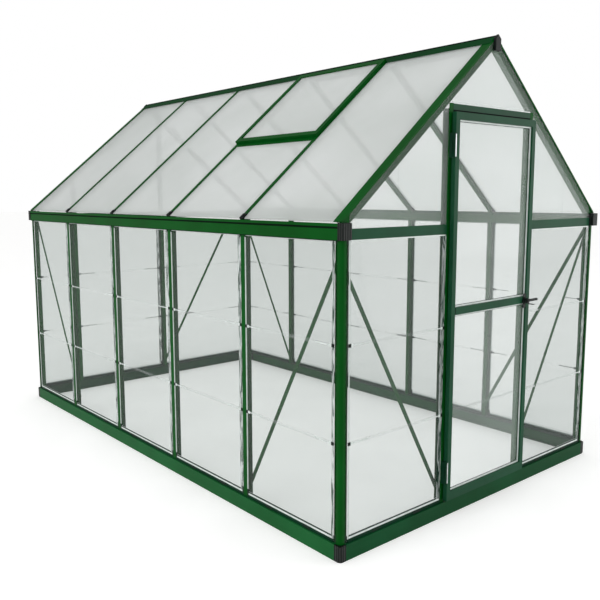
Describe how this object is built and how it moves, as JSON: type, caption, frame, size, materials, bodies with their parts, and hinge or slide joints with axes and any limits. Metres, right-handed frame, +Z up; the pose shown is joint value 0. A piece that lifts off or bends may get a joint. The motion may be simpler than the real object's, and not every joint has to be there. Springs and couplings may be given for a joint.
{
  "type": "greenhouse",
  "caption": "Walk-in hobby greenhouse with an apex roof, green metal frame, clear wall panes, milky roof sheets, a hinged gable door and a roof vent",
  "frame": {"origin": "on the ground, in the middle of the base frame", "axes": "+Z up, Y along the ridge with the door gable at -Y, X across the gables"},
  "size_m": [1.854, 3.1126, 2.0839],
  "materials": {
    "green_frame": "dark green powder coat on extruded aluminium profiles",
    "green_steel": "green coated folded steel",
    "dark_connector": "dark green moulded sleeves",
    "black_plastic": "black moulded plastic with a fine grain",
    "clear_pane": "clear smooth wall panes",
    "clear_strip": "clear extruded joint strips",
    "roof_sheet": "milky white twin-wall roof sheets",
    "hinge_metal": "bright aluminium hinges"
  },
  "bodies": {
    "house": {"base_corner_caps": "black_plastic", "base_rails_gables": "green_steel", "base_rails_sides": "green_steel", "braces_gables": "green_frame", "braces_sides": "green_frame", "corner_posts": "green_frame", "cross_rails": "green_frame", "door_header": "green_frame", "door_posts": "green_frame", "eaves_end_caps": "black_plastic", "eaves_rail_left": "green_frame", "eaves_rail_right": "green_frame", "gable_panes_front": "clear_pane", "gable_panes_rear": "clear_pane", "gable_rafters_front": "green_frame", "gable_rafters_rear": "green_frame", "hinge_post_leaves": "hinge_metal", "joint_strips_gables": "clear_strip", "joint_strips_sides": "clear_strip", "latch_catch": "black_plastic", "panes_front": "clear_pane", "panes_left": "clear_pane", "panes_rear": "clear_pane", "panes_right": "clear_pane", "rafter_seats": "green_frame", "rear_gable_studs": "green_frame", "ridge_beam": "green_frame", "ridge_end_caps": "black_plastic", "roof_rafters": "green_frame", "roof_sheets_left": "roof_sheet", "roof_sheets_right": "roof_sheet", "sills_gables": "green_frame", "sills_sides": "green_frame", "stud_sleeves": "dark_connector", "vent_crossbar": "green_frame", "vent_frame": "green_frame", "vent_sheet": "roof_sheet", "wall_studs_left": "green_frame", "wall_studs_right": "green_frame"},
    "door": {"door_panes": "clear_pane", "door_rails": "green_frame", "door_stiles": "green_frame", "door_strip": "clear_strip", "hinge_door_leaves": "hinge_metal", "latch_boss": "black_plastic"},
    "latch": {"latch_handle": "black_plastic"}
  },
  "joints": [
    {"name": "door_hinge", "type": "hinge", "parent": "house", "child": "door", "pos_m": [-0.301, -1.543, 0.9], "axis": [0, 0, -1], "range_deg": [0, 120]},
    {"name": "latch_turn", "type": "hinge", "parent": "door", "child": "latch", "pos_m": [0.252, -1.558, 0.91], "axis": [0, -1, 0], "range_deg": [0, 90]}
  ]
}
